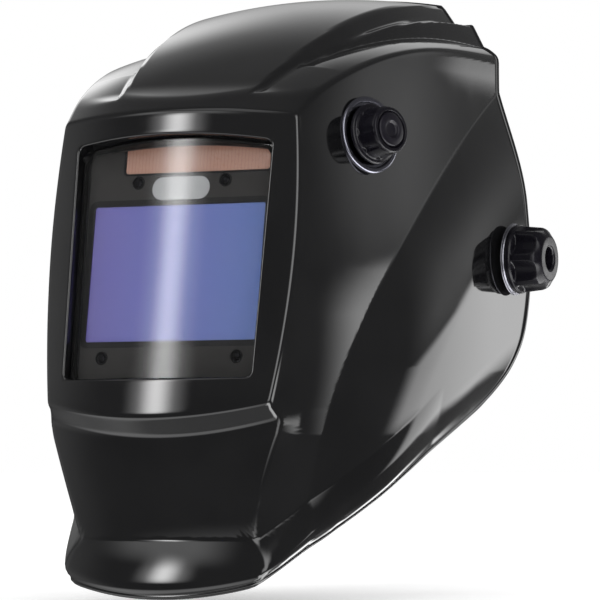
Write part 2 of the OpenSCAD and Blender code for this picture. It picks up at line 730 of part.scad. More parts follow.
house_y = band_ry + band_t + 0.1;
module ratchet_housing() {
    color(soft_black) in_band() difference() {
        plate(66, 32, 9, band_ry - 2.6, house_y + 12, 0);
        plate(58, 24, 6, house_y + 2.4, house_y + 13, 0);
        band_strip(140, 220, -5, band_t + 0.1, -20, 20, 40);
    }
}
module ratchet_cover() {
    color(soft_black) in_band() difference() {
        plate(66, 32, 9, house_y + 12.1, house_y + 14.1, 0);
        translate([0, house_y, 0]) rotate([-90, 0, 0]) cylinder(h = 20, r = 4 + run_gap, $fn = 32);
    }
}
module ratchet_knob() {
    color([0.13, 0.13, 0.14]) in_band() translate([0, house_y, 0]) rotate([-90, 0, 0]) difference() {
        union() {
            translate([0, 0, 14.5]) cylinder(h = 11, r1 = 23, r2 = 21.5, $fn = 72);
            translate([0, 0, 25.5]) cylinder(h = 2, r1 = 21.5, r2 = 18.5, $fn = 72);
        }
        for (a = [0:30:330]) rotate(a) translate([25, 0, 14]) cylinder(h = 16, r = 3.6, $fn = 20);
        translate([0, 0, 26.2]) cylinder(h = 3, r = 14, $fn = 48);
        translate([0, 0, 14]) cylinder(h = 9, r = 4, $fn = 32);
    }
}
module ratchet_pinion() {
    color([0.75, 0.75, 0.72]) in_band() translate([0, house_y, 0]) rotate([-90, 0, 0]) {
        translate([0, 0, 3.2]) cylinder(h = 19.6, r = 4, $fn = 32);
        translate([0, 0, 3.2]) difference() {
            cylinder(h = 6.5, r = 8, $fn = 40);
            for (a = [0:45:315]) rotate(a) translate([8.4, 0, -1]) cylinder(h = 9, r = 1.9, $fn = 16);
        }
    }
}

// ---------- assembly ----------

shell();
cover_lens();
lens_seal();
filter_case();
filter_back();
solar_cell();
filter_glass();
lcd_stack();
sensor_lenses();
rating_label();
circuit_board();
coin_cells();
inner_cover_lens();
filter_holder();
holder_screws();
retainer_bail();
sensitivity_knob();
delay_knob();
test_button();
battery_cap_left();
battery_cap_right();
shade_ring();
shade_pot();
shade_nut();
shade_knob();
shade_knob_cap();
shade_shaft();
shade_lead();
lead_clips();
lead_plug();
pivot_bushings();
stop_pegs();
pivot_bolts();
slider_blocks();
limit_plates();
inner_washers();
outer_washers();
pivot_knob_left();
pivot_knob_right();
headband();
side_plates();
band_rivets();
crown_strap_left();
crown_strap_right();
strap_studs();
sweatband();
rear_cradle();
rear_pad();
ratchet_housing();
ratchet_cover();
ratchet_knob();
ratchet_pinion();
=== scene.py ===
"""Welding helmet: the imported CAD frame, dressed for a studio picture.

Lengths are millimetres until a mesh is made, in the frame of the CAD: the origin is the middle of
the tilt axis, the wearer looks along -Y, +X is the wearer's left and +Z is up.
"""
import math

import bmesh
import bpy
import numpy as np
from mathutils import Matrix, Vector


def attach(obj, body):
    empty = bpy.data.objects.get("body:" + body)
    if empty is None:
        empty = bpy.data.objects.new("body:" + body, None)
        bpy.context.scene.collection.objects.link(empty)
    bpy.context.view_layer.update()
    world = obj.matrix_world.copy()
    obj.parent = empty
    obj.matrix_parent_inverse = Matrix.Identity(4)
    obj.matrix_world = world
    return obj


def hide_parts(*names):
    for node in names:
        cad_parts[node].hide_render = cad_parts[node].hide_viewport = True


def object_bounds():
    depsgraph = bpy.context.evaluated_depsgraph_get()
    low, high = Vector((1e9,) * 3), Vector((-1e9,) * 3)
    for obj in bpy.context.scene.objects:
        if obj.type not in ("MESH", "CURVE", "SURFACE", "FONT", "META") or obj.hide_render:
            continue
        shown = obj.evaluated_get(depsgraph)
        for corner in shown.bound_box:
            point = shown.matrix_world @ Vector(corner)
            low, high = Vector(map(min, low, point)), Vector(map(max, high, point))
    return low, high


MM = 0.001
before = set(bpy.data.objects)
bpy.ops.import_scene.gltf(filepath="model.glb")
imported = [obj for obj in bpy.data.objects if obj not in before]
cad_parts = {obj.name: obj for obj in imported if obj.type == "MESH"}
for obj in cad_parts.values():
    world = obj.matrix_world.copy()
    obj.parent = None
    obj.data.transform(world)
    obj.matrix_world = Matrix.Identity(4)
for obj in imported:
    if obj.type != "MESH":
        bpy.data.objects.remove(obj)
cad_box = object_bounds()

# ---------- driving sizes, as in the CAD ----------

WALL = 2.8
REAR_Y = 28.0
FACE_Y = -204.6
FACE_R = 195.0
FACE_LEAN = 0.172
LEAN = math.atan(FACE_LEAN)
FRAME_HALF = 70.4
FRAME_TOP = 67.0
FRAME_BOTTOM = -78.0
CROWN_TOP = 141.5
OPEN_TOP = 55.1
OPEN_BOTTOM = -66.0
OPEN_HALF = 54.3
FLANGE = 16.2
HUB = np.array([0.0, -60.0, 50.0])

# the shell's grid: columns fan out from the window, rows run from the window to the cut edge
COLUMNS = 480
OUTER_ROWS = 156
INNER_ROWS = 26
# how many more columns there are per degree where the crown's ledges run
LEDGE_DENSITY = 1.9
LEDGE_ANGLE = 33.5
# half the distance over which the surface's slope is measured for its normals
NORMAL_SPAN = 1.1
# radius and steps of the rounded corner between the window's wall and the face
EDGE_ROUND = 1.1
EDGE_STEPS = 5
# spacing of rows: a bend of 1 radian, up to the most, counts as this many millimetres
BEND_COST = 22.0
MOST_BEND = 0.6
# distance past the cut edge and height of each row of the bead along it
BEAD = ((-2.8, 0.1), (-2.6, 0.45), (-2.1, 0.8), (-1.3, 0.95), (-0.5, 0.8), (0.1, 0.35))


# ---------- the shell's surface, the same formulas as the CAD on a finer grid ----------

def clamp(t):
    """t kept between 0 and 1."""
    return np.clip(t, 0.0, 1.0)


def ramp(v, a, b):
    """0 at a, 1 at b, straight between and level outside; b may be the lower one."""
    return clamp((v - a) / (b - a))


def ease(t):
    """A ramp from 0 to 1 with level ends."""
    c = clamp(t)
    return c * c * (3 - 2 * c)


def mix(a, b, t):
    """a at t = 0, b at t = 1."""
    return a + (b - a) * t


def swell(t):
    """A rise from 0 to 1 that starts steeply and ends level."""
    return np.sin(math.pi / 2 * clamp(t))


def soft_max(a, b, r):
    """The larger of a and b, rounded where they cross over about r mm."""
    h = np.maximum(r - np.abs(a - b), 0) / r
    return np.maximum(a, b) + h * h * r / 4


def soft_min(a, b, r):
    """The smaller of a and b, rounded in the same way."""
    return -soft_max(-a, -b, r)


def face_at(x, z):
    """y of the curved, leaning face that holds the window."""
    return FACE_Y + x * x / (2 * FACE_R) + FACE_LEAN * z


def front_half(y, z):
    """Half width where the side starts: the window frame, and below it the narrower throat."""
    low = 63.1 - 0.235 * np.maximum(-z - 80, 0) - 0.11 * np.maximum(-z - 94, 0)
    jog = 1.9 * ease(ramp(z, -80, -88)) * (1 - ramp(z, -88, -130)) * (1 - ramp(y, -200, -185))
    return np.where(z > -80, FRAME_HALF - 0.00095 * (z - 8) ** 2, low) + jog


def past_valley(y, z):
    """Distance behind the valley that curves between the flank and the cheek."""
    u = np.maximum(z + 112, 0)
    return (y + 169 - 0.0047 * u * u) / np.sqrt(1 + (0.0094 * u) ** 2)


def low_edge(y):
    """Height of the cut edge along the bottom of the cheek."""
    return -69 + 0.478 * (y - 4) + 5 * np.maximum(0, 1 - ((y + 70) / 85) ** 2)


def lip_crease(y):
    """Height of the crease above the rolled lip."""
    return -146 + 0.67 * (y + 197)


def low_dip(x, y):
    """How far the cut edge dips at the middle of the front."""
    return (1 + 4.2 * clamp(1 - (x / 58) ** 2)) * ramp(y, -165, -200)


def roll_under(x, y, z):
    """How far the lip rolls under just above the cut edge."""
    return 0.045 * np.maximum(low_edge(y) - low_dip(x, y) + 9 - z, 0) ** 2


def side_half(y, z):
    """Half width: swept flank, cheek bulge, tuck-in at the rear, rolled lip at the front."""
    start = front_half(y, z)
    back = clamp((y + 191.5 - FACE_LEAN * z) / (219.5 - FACE_LEAN * z) / 0.8)
    rear = 86.5 + 7 * ease(ramp(z, 100, -10)) - 0.0012 * np.maximum(-z - 30, 0) ** 2
    bulge = 11.5 * swell(past_valley(y, z) / 60) * (1 - 0.5 * ramp(z, -60, -150))
    tuck = 4 * clamp(1 - (z - low_edge(y)) / 26) ** 2 * ramp(y, -120, -40)
    flare = 8 * ramp(y, -80, -190) + 5 * ramp(y, -150, -200)
    lip = flare * swell((lip_crease(y) - z) / 15)
    roll = roll_under(70, y, z) * ramp(y, -40, -120)
    return start + (rear - start) * (1 - (1 - back) ** 2.6) + bulge - tuck + lip - roll


def crown_at(x, y):
    """Height of the crown: domed plateau, two ledges that open towards the rear, shoulder."""
    v = np.maximum((34 - y) / 212, 0)
    g = clamp((y + 178) / 206)
    late = clamp((y + 140) / 168)
    x1 = 54 - 16.8 * clamp(v) ** 2.8
    x2 = x1 + 8 * g ** 0.6
    x3 = x2 + 10 * late + 0.01
    x4 = x3 + 6.5 * late ** 0.7 + 0.01
    x5 = 67.5 + 19 * (1 - (1 - clamp((y + 182) / 210)) ** 3)
    z1 = CROWN_TOP - 63.5 * v ** 2.24 + 6 * ease(ramp(y, -165, -200))
    z2 = z1 - 11.5 * np.sqrt(g)
    z4 = z2 - 12.5 * late ** 0.8
    z5 = 112 - 43.2 * (np.maximum(-y, 0) / 184) ** 2.56
    across = clamp((x - x4) / np.maximum(x5 - x4, 1))
    plateau = z1 + 5 * clamp((y + 200) / 150) * (1 - (x / x1) ** 2)
    step_one = mix(z1, z2, (x - x1) / np.maximum(x2 - x1, 0.01))
    step_two = mix(z2, z4, (x - x3) / (x4 - x3))
    shoulder = mix(z4, z5, across) + 3 * across * (1 - across)
    return np.select(
        [x < x1, x < x2, x < x3, x < x4, x < x5],
        [plateau, step_one, z2, step_two, shoulder], z5 - 1.2 * (x - x5))


def skin(p):
    """Negative inside the helmet, zero on its outer surface, about 1 per mm outwards."""
    x, y, z = np.abs(p[..., 0]), p[..., 1], p[..., 2]
    ahead = face_at(x, z)
    roof = (z - crown_at(x, y)) * 0.8
    top = FRAME_TOP + 4.2 * (1 - (x / 67) ** 2)
    brow = (z - top - 0.95 * (y - ahead)) * 0.72
    side = (x - side_half(y, z)) * 0.97
    window = (ahead - y) * 0.985
    foot = FRAME_BOTTOM - 7 * (1 - (x / 62) ** 2)
    bevel = (foot - z - (y - ahead)) * 0.7
    fall_back = 0.0026 * clamp((-z - 95) / 51) ** 2 * 51 ** 2 + 0.2 * np.maximum(-z - 146, 0)
    roll = 13.4 * swell((-146 - z) / 37.6)
    throat = -211.3 + x * x / 380 + fall_back - roll + roll_under(x, y, z)
    front = soft_min(soft_max(window, bevel, 1.5), soft_max(throat - y, z + 80, 2), 1.5)
    return soft_max(soft_max(soft_max(roof, brow, 1), side, 2), front, 1.6)


def rim(p):
    """Negative in front of the cut edge: down the back, then forwards along the bottom."""
    x, y, z = p[..., 0], p[..., 1], p[..., 2]
    return soft_max(y - REAR_Y, (low_edge(y) - low_dip(x, y) - z) * 0.9, 60) - 1


def unit(v):
    """v scaled to length 1."""
    return v / np.linalg.norm(v, axis=-1, keepdims=True)


def hit(direction, level, steps=24):
    """Where rays from the hub meet the skin, offset by level."""
    near = np.full(direction.shape[:-1], 55.0)
    far = np.full(direction.shape[:-1], 330.0)
    for _ in range(steps):
        mid = (near + far) / 2
        inside = skin(HUB + direction * mid[..., None]) < level
        near = np.where(inside, mid, near)
        far = np.where(inside, far, mid)
    return HUB + direction * ((near + far) / 2)[..., None]


def fan(a, b):
    """Directions that fan out round an axis square to the cut edge; angles in radians."""
    axis = np.array([0, -0.784, 0.62])
    over = np.array([0, 0.62, 0.784])
    flat = np.sin(a)[..., None] * np.array([1.0, 0, 0]) + np.cos(a)[..., None] * over
    return axis * np.cos(b)[..., None] + flat * np.sin(b)[..., None]


def rim_direction(a, level, past=0.0):
    """The direction in which the shell at this level meets its cut edge, plus past mm."""
    near = np.full(a.shape, math.radians(60))
    far = np.full(a.shape, math.radians(165))
    for _ in range(16):
        mid = (near + far) / 2
        inside = rim(hit(fan(a, mid), level, 18)) < past
        near = np.where(inside, mid, near)
        far = np.where(inside, far, mid)
    return fan(a, (near + far) / 2)


def window_edge(x, w):
    """Negative inside the window: splayed sides, arched top, straight bottom."""
    over = w - OPEN_TOP - 4.5 * (1 - (x / 55) ** 2)
    return soft_max(np.abs(x) - OPEN_HALF - 0.0185 * w, np.maximum(over, OPEN_BOTTOM - w), 4)


def window_point(a, grow=0.0):
    """Outline of the window opening, grown outwards, in direction a from straight up."""
    near = np.full(a.shape, 20.0)
    far = np.full(a.shape, 110.0)
    for _ in range(24):
        mid = (near + far) / 2
        inside = window_edge(np.sin(a) * mid, np.cos(a) * mid - 5) < grow
        near = np.where(inside, mid, near)
        far = np.where(inside, far, mid)
    return np.stack([np.sin(a) * near, np.cos(a) * near - 5], -1)


def on_face(q, depth, curved=0.0):
    """A point of the leaning face: q across and up it, depth behind it."""
    x, w = q[..., 0], q[..., 1]
    y = FACE_Y + w * math.sin(LEAN) + depth * math.cos(LEAN) + curved * x * x / (2 * FACE_R)
    return np.stack([x, y, w * math.cos(LEAN) - depth * math.sin(LEAN)], -1)


def along(start, end, rows, level):
    """Rows of surface points from start to end, closer together where the surface bends."""
    t = np.linspace(0, 1, 361)[None, :, None]
    fine = hit(unit(start[:, None] * (1 - t) + end[:, None] * t), level, 18)
    step = np.linalg.norm(np.diff(fine, axis=1), axis=-1)
    heading = unit(np.diff(fine, axis=1))
    turn = np.linalg.norm(np.diff(heading, axis=1), axis=-1)
    turn = np.pad(turn, ((0, 0), (1, 0)))
    cost = step + BEND_COST * np.minimum(turn, MOST_BEND)
    # neighbouring columns share their spacing, so that rows run smoothly across them
    cost = (np.roll(cost, -1, axis=0) + cost + np.roll(cost, 1, axis=0)) / 3
    run = np.pad(np.cumsum(cost, axis=1), ((0, 0), (1, 0)))
    wanted = np.linspace(0, 1, rows + 1)[1:-1]
    line = np.linspace(0, 1, run.shape[1])
    at = np.stack([np.interp(wanted * row[-1], row, line) for row in run])
    at = np.concatenate([at, np.ones((len(at), 1))], axis=1)[..., None]
    return hit(unit(start[:, None] * (1 - at) + end[:, None] * at), level)


# ---------- making meshes ----------

def mesh_object(name, verts, faces, materials, face_slots=None, smooth=True):
    """A mesh from points in millimetres."""
    mesh = bpy.data.meshes.new(name)
    mesh.from_pydata((np.asarray(verts, dtype=float) * MM).tolist(), [], faces)
    for material in materials:
        mesh.materials.append(material)
    if face_slots is not None:
        mesh.polygons.foreach_set("material_index", face_slots)
    mesh.polygons.foreach_set("use_smooth", [smooth] * len(mesh.polygons))
    mesh.update()
    obj = bpy.data.objects.new(name, mesh)
    bpy.context.collection.objects.link(obj)
    return obj


def grid_faces(columns, rows, closed_columns=True, closed_rows=False, flip=False):
    """Quads of a grid whose points run row by row within each column; flip turns them inside out."""
    faces = []
    for i in range(columns if closed_columns else columns - 1):
        a, b = i * rows, (i + 1) % columns * rows
        for j in range(rows if closed_rows else rows - 1):
            k = (j + 1) % rows
            quad = (a + j, a + k, b + k, b + j)
            faces.append(quad[::-1] if flip else quad)
    return faces


# ---------- procedural materials ----------

def math_node(tree, kind, *values):
    """A math node's output; each value is a number or another node's output."""
    node = tree.nodes.new("ShaderNodeMath")
    node.operation = kind
    for socket, value in zip(node.inputs, values):
        if isinstance(value, (int, float)):
            socket.default_value = value
        else:
            tree.links.new(value, socket)
    return node.outputs[0]


def new_material(name, color, roughness, metallic=0.0, specular=0.5):
    """A principled material; uniform values sit on the shader's own sockets."""
    material = bpy.data.materials.new(name)
    material.use_nodes = True
    shader = material.node_tree.nodes["Principled BSDF"]
    shader.inputs["Base Color"].default_value = (*color, 1)
    shader.inputs["Roughness"].default_value = roughness
    shader.inputs["Metallic"].default_value = metallic
    shader.inputs["Specular IOR Level"].default_value = specular
    return material


def noise(material, scale, detail=4.0, stretch=(1, 1, 1)):
    """Noise in object space; scale is features per metre."""
    nodes, links = material.node_tree.nodes, material.node_tree.links
    place = nodes.new("ShaderNodeTexCoord")
    mapping = nodes.new("ShaderNodeMapping")
    mapping.inputs["Scale"].default_value = stretch
    texture = nodes.new("ShaderNodeTexNoise")
    texture.inputs["Scale"].default_value = scale
    texture.inputs["Detail"].default_value = detail
    links.new(place.outputs["Object"], mapping.inputs["Vector"])
    links.new(mapping.outputs["Vector"], texture.inputs["Vector"])
    return texture.outputs["Fac"]


def spread(material, value, low, high, to_low=0.35, to_high=0.65):
    """Maps a pattern's middle range onto low to high."""
    node = material.node_tree.nodes.new("ShaderNodeMapRange")
    node.inputs["From Min"].default_value = to_low
    node.inputs["From Max"].default_value = to_high
    node.inputs["To Min"].default_value = low
    node.inputs["To Max"].default_value = high
    material.node_tree.links.new(value, node.inputs["Value"])
    return node.outputs["Result"]


def tint(material, value, first, second):
    """Base colour that runs from first to second with a pattern."""
    nodes, links = material.node_tree.nodes, material.node_tree.links
    node = nodes.new("ShaderNodeMix")
    node.data_type = "RGBA"
    node.inputs["A"].default_value = (*first, 1)
    node.inputs["B"].default_value = (*second, 1)
    links.new(value, node.inputs["Factor"])
    links.new(node.outputs["Result"], nodes["Principled BSDF"].inputs["Base Color"])


def rough(material, value, low, high):
    """Roughness that runs from low to high with a pattern."""
    links = material.node_tree.links
    shader = material.node_tree.nodes["Principled BSDF"]
    links.new(spread(material, value, low, high), shader.inputs["Roughness"])


def bump(material, value, strength, distance):
    """Surface relief from a pattern; distance is its height in metres."""
    nodes, links = material.node_tree.nodes, material.node_tree.links
    node = nodes.new("ShaderNodeBump")
    node.inputs["Strength"].default_value = strength
    node.inputs["Distance"].default_value = distance
    links.new(value, node.inputs["Height"])
    links.new(node.outputs["Normal"], nodes["Principled BSDF"].inputs["Normal"])


def moulded(name, color, roughness, grain, depth, wear=0.35, specular=0.5):
    """Moulded plastic: fine grain, slightly uneven gloss and colour, paler by wear in places."""
    material = new_material(name, color, roughness, specular=specular)
    lighter = tuple(c * (1 + wear) + 0.004 * wear for c in color)
    tint(material, spread(material, noise(material, 45), 0, 1), color, lighter)
    rough(material, noise(material, 160), roughness * 0.85, min(1, roughness * 1.2))
    bump(material, noise(material, grain, 2), depth, 0.00008)
    return material


def brushed(name, color, roughness):
    """Turned or rolled metal with fine lines."""
    material = new_material(name, color, roughness, metallic=1.0)
    lines = noise(material, 900, 3, stretch=(1, 1, 40))
    darker = tuple(c * 0.78 for c in color)
    tint(material, spread(material, lines, 0, 1), darker, color)
    rough(material, lines, roughness * 0.7, roughness * 1.35)
    bump(material, lines, 0.2, 0.00003)
    return material


def gloss_shell():
    """Polished black nylon: a deep gloss with a trace of orange peel."""
    material = new_material("gloss_shell", (0.0045, 0.0045, 0.005), 0.07)
    tint(material, spread(material, noise(material, 30), 0, 1), (0.004, 0.004, 0.0045),
         (0.0065, 0.0065, 0.007))
    rough(material, noise(material, 55, 6), 0.045, 0.085)
    bump(material, noise(material, 260, 1), 0.02, 0.0001)
    return material


def clear_polycarbonate():
    """Clear sheet: shows what is behind it and mirrors the lights at its surface."""
    material = bpy.data.materials.new("clear_polycarbonate")
    material.use_nodes = True
    nodes, links = material.node_tree.nodes, material.node_tree.links
    nodes.clear()
    through = nodes.new("ShaderNodeBsdfTransparent")
    through.inputs["Color"].default_value = (0.94, 0.94, 0.94, 1)
    mirror = nodes.new("ShaderNodeBsdfGlossy")
    mirror.inputs["Color"].default_value = (0.62, 0.62, 0.62, 1)
    fresnel = nodes.new("ShaderNodeFresnel")
    fresnel.inputs["IOR"].default_value = 1.5
    both = nodes.new("ShaderNodeMixShader")
    out = nodes.new("ShaderNodeOutputMaterial")
    mist = noise(material, 70, 5)
    links.new(spread(material, mist, 0.03, 0.06), mirror.inputs["Roughness"])
    # only the side that faces out mirrors, so that light is not lost inside the sheet
    sides = nodes.new("ShaderNodeNewGeometry")
    front = math_node(material.node_tree, "SUBTRACT", 1, sides.outputs["Backfacing"])
    amount = math_node(material.node_tree, "MULTIPLY", fresnel.outputs["Fac"], front)
    links.new(amount, both.inputs["Fac"])
    links.new(through.outputs["BSDF"], both.inputs[1])
    links.new(mirror.outputs["BSDF"], both.inputs[2])
    links.new(both.outputs["Shader"], out.inputs["Surface"])
    return material


GLOSS = gloss_shell()
INSIDE = moulded("shell_inside", (0.012, 0.012, 0.013), 0.5, 1800, 0.4)
CLEAR = clear_polycarbonate()


# ---------- the shell ----------

def exact_normals(mesh, rows, first, last):
    """Normals straight from the surface's formula between two rows, so that reflections are clean."""
    count = len(mesh.vertices)
    points = np.empty(count * 3)
    mesh.vertices.foreach_get("co", points)
    points = points.reshape(-1, 3) / MM
    slope = np.stack([skin(points + step) - skin(points - step) for step in np.eye(3) * NORMAL_SPAN], -1)
    normal = unit(slope + 1e-12)
    corner = np.empty(len(mesh.loops) * 3)
    mesh.corner_normals.foreach_get("vector", corner)
    corner = corner.reshape(-1, 3)
    vertex = np.empty(len(mesh.loops), dtype=np.int64)
    mesh.loops.foreach_get("vertex_index", vertex)
    row = vertex.reshape(-1, 4) % rows
    outside = ((row > first) & (row < last)).all(axis=1).repeat(4)
    corner[outside] = normal[vertex[outside]]
    mesh.normals_split_custom_set(corner.tolist())


def column_angles():
    """Angles of the grid's columns, closer together where the crown's ledges run."""
    fine = np.linspace(-math.pi, math.pi, 3601)
    off = np.abs(np.abs(fine) - math.radians(LEDGE_ANGLE))
    density = 1 + LEDGE_DENSITY * ease(ramp(off, math.radians(13), math.radians(8)))
    total = np.pad(np.cumsum((density[1:] + density[:-1]) / 2), (1, 0))
    return np.interp(np.arange(COLUMNS) / COLUMNS * total[-1], total, fine)


def make_shell():
    """The shell as one closed grid: window well, outside, bead, cut edge, inside, flange back."""
    a = column_angles()
    turn = a + math.radians(14) * np.sin(a)
    edge = window_point(a)
    # the rounded corner between the window's wall and the face
    corner = []
    for step in range(1, EDGE_STEPS + 1):
        angle = math.pi / 2 * step / EDGE_STEPS
        out = EDGE_ROUND * (1 - math.cos(angle))
        deep = EDGE_ROUND * (1 - math.sin(angle))
        corner.append(on_face(window_point(a, out), deep, 1.0))
    well = [on_face(window_point(a, -2), FLANGE), on_face(edge, FLANGE)]
    well += [mix(on_face(edge, FLANGE), on_face(edge, EDGE_ROUND, 1.0), t) for t in (0.08, 0.5, 1.0)]
    columns = well + corner
    start_out = columns[-1] - HUB
    inner_edge = on_face(window_point(a, 2.5), WALL, 1.0)
    rim_out = rim_direction(turn, 0.0, -3.0)
    rim_in = rim_direction(turn, -WALL + 0.25)
    outer = along(unit(start_out), rim_out, OUTER_ROWS, 0.0)
    # a bead along the cut edge
    bead = [hit(rim_direction(turn, level, past), level) for past, level in BEAD]
    inner = along(unit(inner_edge - HUB), rim_in, INNER_ROWS, -WALL)
    # a half-round cut edge
    edge_rows = []
    for step in range(1, 8):
        angle = math.pi * step / 8
        level = -WALL / 2 * (1 - math.cos(angle))
        edge_rows.append(hit(rim_direction(turn, level, 0.9 * math.sin(angle)), level))
    back = [inner_edge, on_face(window_point(a, 2.5), FLANGE + 2),
            on_face(window_point(a, -2), FLANGE + 2)]
    ring = np.concatenate([
        np.stack(columns, 1), outer, np.stack(bead + edge_rows, 1), inner[:, ::-1], np.stack(back, 1)], 1)
    rows = ring.shape[1]
    faces = grid_faces(COLUMNS, rows, closed_rows=True, flip=True)
    first_inner = len(columns) + OUTER_ROWS + len(bead) + len(edge_rows) - 1
    slots = [1 if f[0] % rows >= first_inner else 0 for f in faces]
    shell = mesh_object("helmet_shell", ring.reshape(-1, 3), faces, [GLOSS, INSIDE], slots)
    mesh = shell.data
    # the flat back of the flange meets the wall at sharp corners
    mesh.set_sharp_from_angle(angle=math.radians(50))
    exact_normals(mesh, rows, len(columns) - 1, len(columns) + OUTER_ROWS - 1)
    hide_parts("shell")
    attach(shell, "shell")
    return shell


shell = make_shell()


# ---------- turned and flat pieces ----------

def local_frame(origin, axis):
    """A frame in millimetres with its z along axis; x is level."""
    z = unit(np.array(axis, dtype=float))
    x = unit(np.cross((0.0, 0.0, 1.0), z))
    return np.array(origin, dtype=float), np.stack([x, np.cross(z, x), z])


def rounded(profile, radius):
    """A (radius, height) outline with each corner between its ends softened."""
    steps = 4
    points = [np.array(p, dtype=float) for p in profile]
    out = [points[0]]
    for before, corner, after in zip(points, points[1:], points[2:]):
        arm_a, arm_b = before - corner, after - corner
        reach = min(radius, np.linalg.norm(arm_a) / 2.2, np.linalg.norm(arm_b) / 2.2)
        a, b = corner + unit(arm_a) * reach, corner + unit(arm_b) * reach
        for k in range(steps + 1):
            t = k / steps
            out.append(a * (1 - t) ** 2 + corner * 2 * t * (1 - t) + b * t * t)
    out.append(points[-1])
    return np.array(out)


def turned(name, profile, place, materials, shape=None, segments=96):
    """A lathed piece; shape(radius, height, angle) may flute its radius."""
    angle = np.arange(segments) * 2 * math.pi / segments
    radius = np.repeat(profile[None, :, 0], segments, 0)
    height = np.repeat(profile[None, :, 1], segments, 0)
    if shape:
        radius = shape(radius, height, angle[:, None])
    local = np.stack([radius * np.cos(angle)[:, None], radius * np.sin(angle)[:, None], height], -1)
    origin, axes = place
    points = origin + local.reshape(-1, 3) @ axes
    obj = mesh_object(name, points, grid_faces(segments, len(profile), flip=True), materials)
    bm = bmesh.new()
    bm.from_mesh(obj.data)
    bmesh.ops.remove_doubles(bm, verts=bm.verts, dist=1e-6)
    bmesh.ops.recalc_face_normals(bm, faces=bm.faces)
    bm.to_mesh(obj.data)
    bm.free()
    obj.data.set_sharp_from_angle(angle=math.radians(55))
    return obj


def joined(name, objects):
    """Several meshes as one piece."""
    bpy.ops.object.select_all(action="DESELECT")
    for obj in objects:
        obj.select_set(True)
    bpy.context.view_layer.objects.active = objects[0]
    bpy.ops.object.join()
    objects[0].name = name
    return objects[0]


def belongs(obj, body, material_slot, *nodes):
    """obj rides on the body and stands for these CAD nodes."""
    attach(obj, body)
    if nodes:
        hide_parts(*nodes)
    return obj


def face_frame(x, w, depth):
    """A frame on the leaning face whose z points out of it, towards the front."""
    origin = on_face(np.array([x, w], dtype=float), depth)
    return local_frame(origin, (0, -math.cos(LEAN), math.sin(LEAN)))


def plate_rows(size, corner, middle, levels):
    """Rounded rectangles on the leaning face, one for each (inset, depth) of levels."""
    steps = 6
    rows = []
    for inset, depth in levels:
        r = corner - inset
        outline = []
        for sx, sy, turn in ((1, 1, 0), (-1, 1, 90), (-1, -1, 180), (1, -1, 270)):
            for k in range(steps + 1):
                a = math.radians(turn + 90 * k / steps)
                outline.append((middle[0] + sx * (size[0] / 2 - inset - r) + r * math.cos(a),
                                middle[1] + sy * (size[1] / 2 - inset - r) + r * math.sin(a)))
        rows.append(on_face(np.array(outline), depth))
    return np.stack(rows, 1)


def panel(name, size, corner, front, back, middle, material, edge):
    """A flat plate on the leaning face with rounded corners and eased edges."""
    ring = plate_rows(size, corner, middle, (
        (edge, back), (0, back - edge), (0, front + edge), (edge * 0.3, front + edge * 0.3),
        (edge, front)))
    n, m = ring.shape[:2]
    faces = grid_faces(n, m, flip=True)
    faces.append([i * m for i in range(n)])
    faces.append([i * m + m - 1 for i in range(n)][::-1])
    obj = mesh_object(name, ring.reshape(-1, 3), faces, [material])
    obj.data.set_sharp_from_angle(angle=math.radians(60))
    return obj


# ---------- the window: outer lens and cartridge front ----------

# depth of the cartridge's front behind the face, then what it holds: (across, up) on the face
PLATE_Y = FLANGE + 2.2
VIEW_W, VIEW_H = 97.0, 70.0
VIEW_AT = (0, -8.3)
SOLAR_AT = (8.5, 52.0)
BADGE_AT = (0, 35.7)
SENSORS = ((-25, 39.2), (25, 39.2), (-38.6, -52), (38.6, -52))
# how far the borders stand out from the front
BORDER_PROUD = 0.12
# depth of the outer lens behind the face: its front and its back
LENS_FRONT, LENS_BACK = 6.0, 7.5


def coated_glass():
    """The filter's interference coating: its own blue-violet, mirror-like, with a painted reflection sweeping
    from violet to blue across it.
    """
    material = new_material("coated_glass", (0.3, 0.3, 0.7), 0.2, specular=0.1)
    nodes, links = material.node_tree.nodes, material.node_tree.links
    place = nodes.new("ShaderNodeTexCoord")
    split = nodes.new("ShaderNodeSeparateXYZ")
    links.new(place.outputs["Object"], split.inputs[0])
    # painted reflection colour: violet at the glass's right edge to blue at its left one, with a slow drift
    # of up to 12 mm
    cloud = noise(material, 9, 2)
    drift = math_node(material.node_tree, "MULTIPLY_ADD", cloud, 0.012, split.outputs["X"])
    half = VIEW_W / 2 * MM
    tint(material, spread(material, drift, 0, 1, -half, half + 0.01),
         (0.165, 0.14, 0.46), (0.08, 0.155, 0.45))
    rough(material, noise(material, 300), 0.12, 0.2)
    return material


def solar_material():
    """Copper-coloured cell with fine collector lines."""
    material = new_material("solar_film", (0.5, 0.3, 0.22), 0.3, specular=0.3)
    nodes, links = material.node_tree.nodes, material.node_tree.links
    place = nodes.new("ShaderNodeTexCoord")
    wave = nodes.new("ShaderNodeTexWave")
    wave.bands_direction = "X"
    wave.inputs["Scale"].default_value = 160
    wave.inputs["Distortion"].default_value = 0.0
    links.new(place.outputs["Object"], wave.inputs["Vector"])
    tint(material, spread(material, wave.outputs["Fac"], 0, 1, 0.0, 0.06), (0.33, 0.17, 0.125),
         (0.44, 0.235, 0.17))
    rough(material, noise(material, 500), 0.25, 0.4)
    return material


